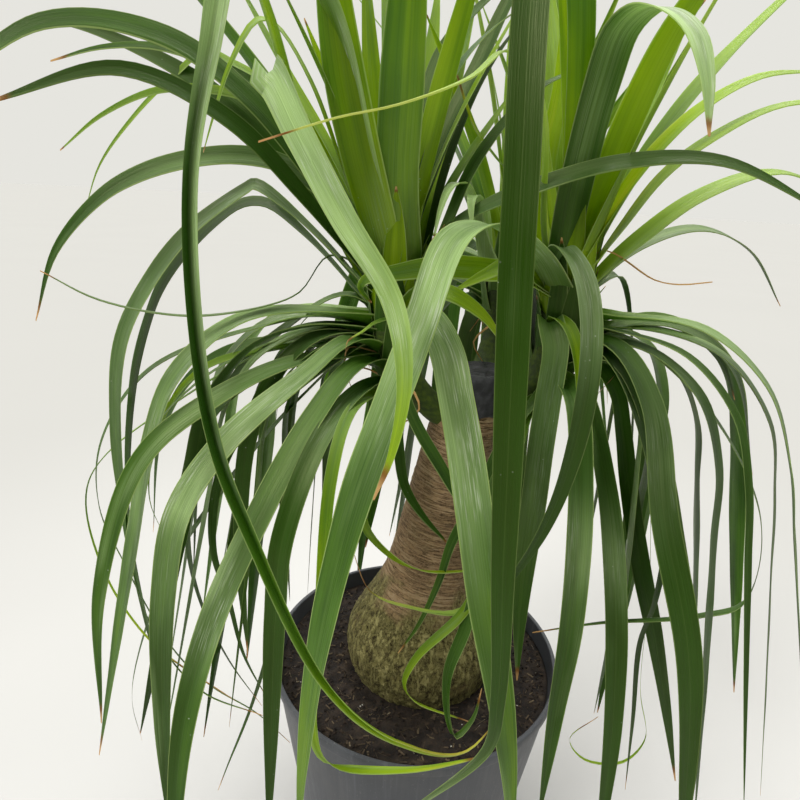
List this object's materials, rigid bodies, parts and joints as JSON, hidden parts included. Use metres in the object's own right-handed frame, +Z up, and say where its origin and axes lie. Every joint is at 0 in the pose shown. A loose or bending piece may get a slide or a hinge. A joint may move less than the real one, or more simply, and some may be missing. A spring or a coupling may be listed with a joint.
{
  "type": "potted ponytail palm",
  "caption": "Branched ponytail palm with a swollen trunk and fountains of long arching strap leaves, in a round dark nursery pot.",
  "frame": {"origin": "centre of the pot's flat foot, on the surface it stands on", "axes": "+Z up, +X to the right in the picture, -Y towards the viewer"},
  "size_m": [0.5935, 0.4867, 0.7816],
  "materials": {
    "pot_plastic": "matte",
    "potting_soil": "matte",
    "corky_bark": "matte",
    "wound_paste": "satin",
    "strap_leaf": "satin"
  },
  "bodies": {
    "root": {"pot": "pot_plastic", "soil": "potting_soil", "trunk": "corky_bark", "wound_seal": "wound_paste", "left_head": "strap_leaf", "right_head": "strap_leaf", "back_head": "strap_leaf"}
  },
  "joints": []
}
